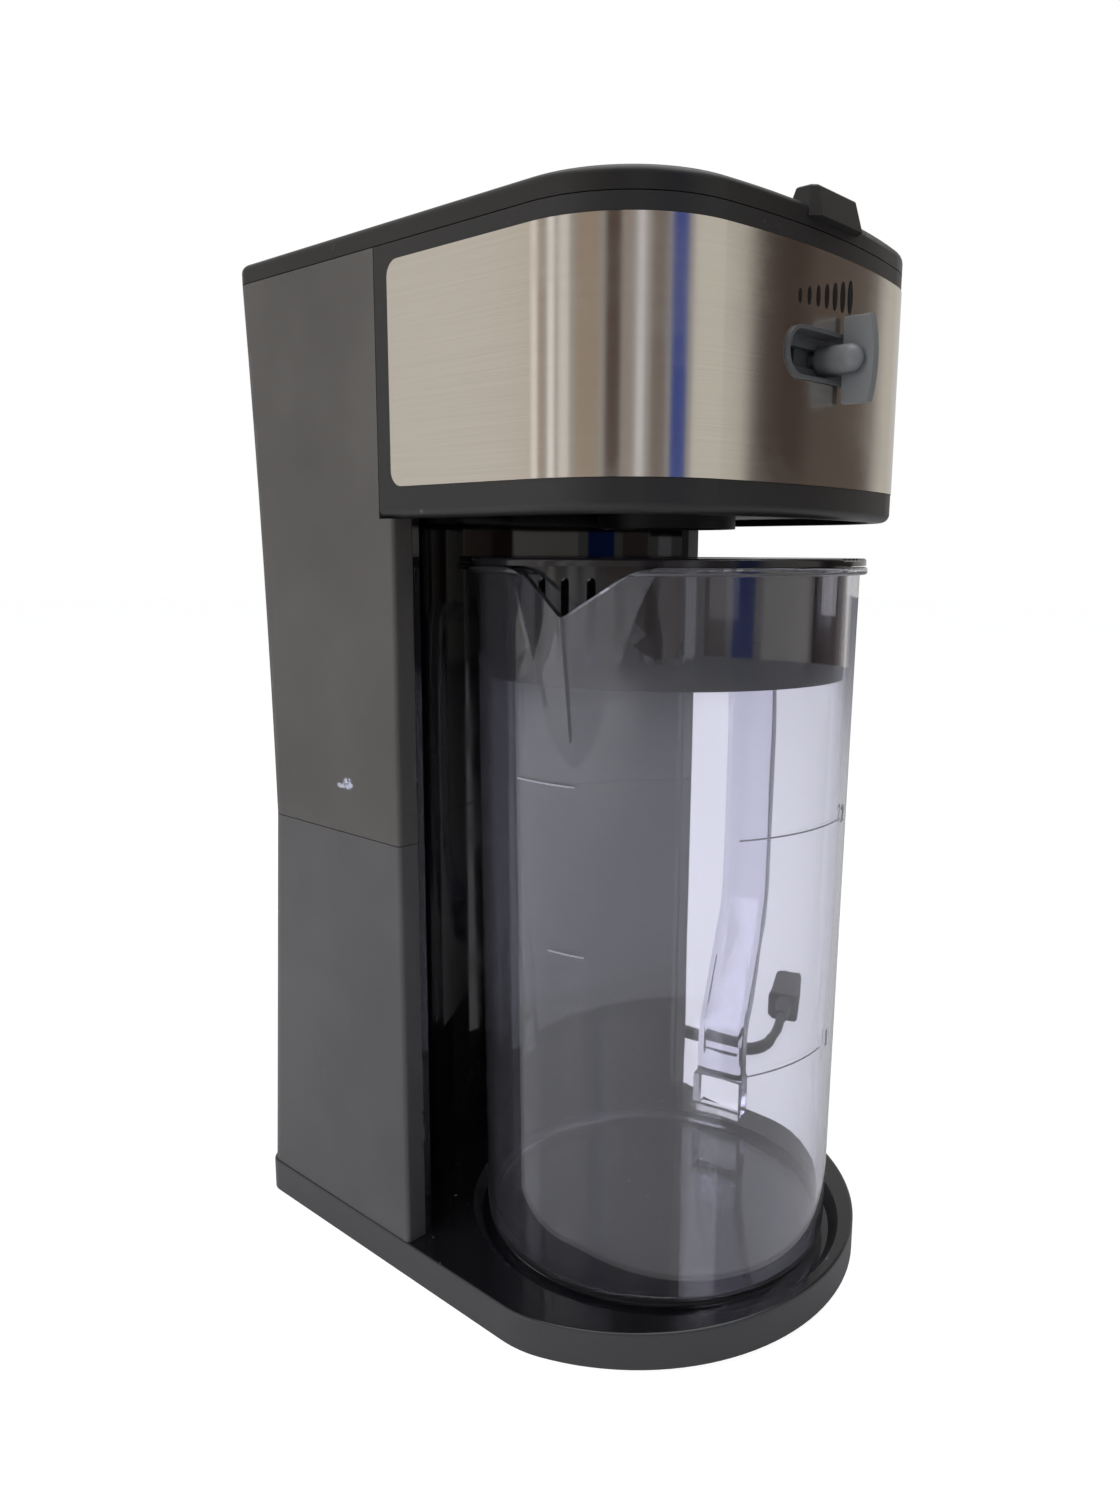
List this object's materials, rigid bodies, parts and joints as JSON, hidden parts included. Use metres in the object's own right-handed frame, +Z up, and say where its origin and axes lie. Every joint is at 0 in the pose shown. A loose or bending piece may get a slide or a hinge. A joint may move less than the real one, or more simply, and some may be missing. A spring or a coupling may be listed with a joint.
{
  "type": "drip coffee and iced tea maker",
  "caption": "Drip brewer with a square tower, a steel-banded head over a clear plastic jug on a dished base, a sliding strength lever and a folded mains lead.",
  "frame": {"origin": "on the floor, at the middle of the base plate", "axes": "+X to the user's right, +Y to the rear, +Z up"},
  "size_m": [0.3474, 0.3334, 0.3684],
  "materials": {
    "charcoal_plastic": "matt",
    "black_gloss": "polished",
    "black_matte": "matt",
    "slider_grey": "satin",
    "brushed_band": "brushed across",
    "mark_ink": "printed",
    "clear_jug": "clear plastic with a faint violet tint",
    "clear_tank": "translucent",
    "soft_rubber": "matt",
    "silicone": "matt",
    "screw_steel": "plated",
    "cast_aluminium": "as cast",
    "element_sheath": "oxidised",
    "white_plastic": "satin",
    "basket_plastic": "satin",
    "lamp_red": "clear red",
    "wire_cover": "matt",
    "cord_black": "satin",
    "tie_white": "matt"
  },
  "bodies": {
    "machine": {"base_tray": "black_gloss", "base_bottom_cover": "charcoal_plastic", "rubber_feet": "soft_rubber", "base_screws": "screw_steel", "tower_screws": "screw_steel", "tower_lower_shell": "charcoal_plastic", "tower_upper_shell": "charcoal_plastic", "front_panel_lower": "black_gloss", "front_panel_upper": "black_gloss", "head_frame": "charcoal_plastic", "steel_band": "brushed_band", "strength_marks": "mark_ink", "head_underside": "black_matte", "top_deck": "black_matte", "deck_screws": "screw_steel", "lid_hinge_pins": "screw_steel", "strength_bezel": "black_matte", "water_tank": "clear_tank", "tank_seal": "silicone", "check_valve": "silicone", "cold_hose": "silicone", "hot_hose": "silicone", "hose_clips": "screw_steel", "heater_body": "cast_aluminium", "heater_tube": "cast_aluminium", "heater_element": "element_sheath", "heater_bracket": "cast_aluminium", "heater_screws": "screw_steel", "thermostat": "element_sheath", "thermal_fuse": "element_sheath", "riser_pipe": "white_plastic", "shower_nozzle": "white_plastic", "brew_basket": "basket_plastic", "basket_filter": "basket_plastic", "switch_housing": "black_matte", "rocker_axle": "screw_steel", "indicator_lamp": "lamp_red", "terminal_block": "slider_grey", "inner_wiring": "wire_cover", "strain_relief": "black_matte", "cord_to_hank": "cord_black", "cord_hank": "cord_black", "cord_to_plug": "cord_black", "cord_tie": "tie_white", "plug_body": "cord_black", "plug_blades": "screw_steel"},
    "lid": {"top_lid": "black_matte"},
    "slider": {"strength_slider": "slider_grey", "slider_shutter": "slider_grey"},
    "jug": {"jug_body": "clear_jug", "jug_handle": "clear_jug"},
    "jug_cover": {"jug_lid": "black_gloss"},
    "rocker": {"switch_rocker": "black_matte"}
  },
  "joints": [
    {"name": "lid_hinge", "type": "hinge", "parent": "machine", "child": "lid", "pos_m": [0, 0.0986, 0.3594], "axis": [-1, 0, 0], "range_deg": [0, 100]},
    {"name": "strength_slide", "type": "slide", "parent": "machine", "child": "slider", "axis": [1, 0, 0], "range_m": [-0.0205, 0.0115]},
    {"name": "jug_lift", "type": "slide", "parent": "machine", "child": "jug", "axis": [0, -0.866, 0.5], "range_m": [0, 0.017]},
    {"name": "jug_cover_turn", "type": "hinge", "parent": "jug", "child": "jug_cover", "pos_m": [0, -0.0313, 0.258], "axis": [0, 0, 1], "range_deg": [-90, 90]},
    {"name": "switch_rock", "type": "hinge", "parent": "machine", "child": "rocker", "pos_m": [0.0811, 0.056, 0.062], "axis": [0, -1, 0], "range_deg": [0, 14]}
  ]
}
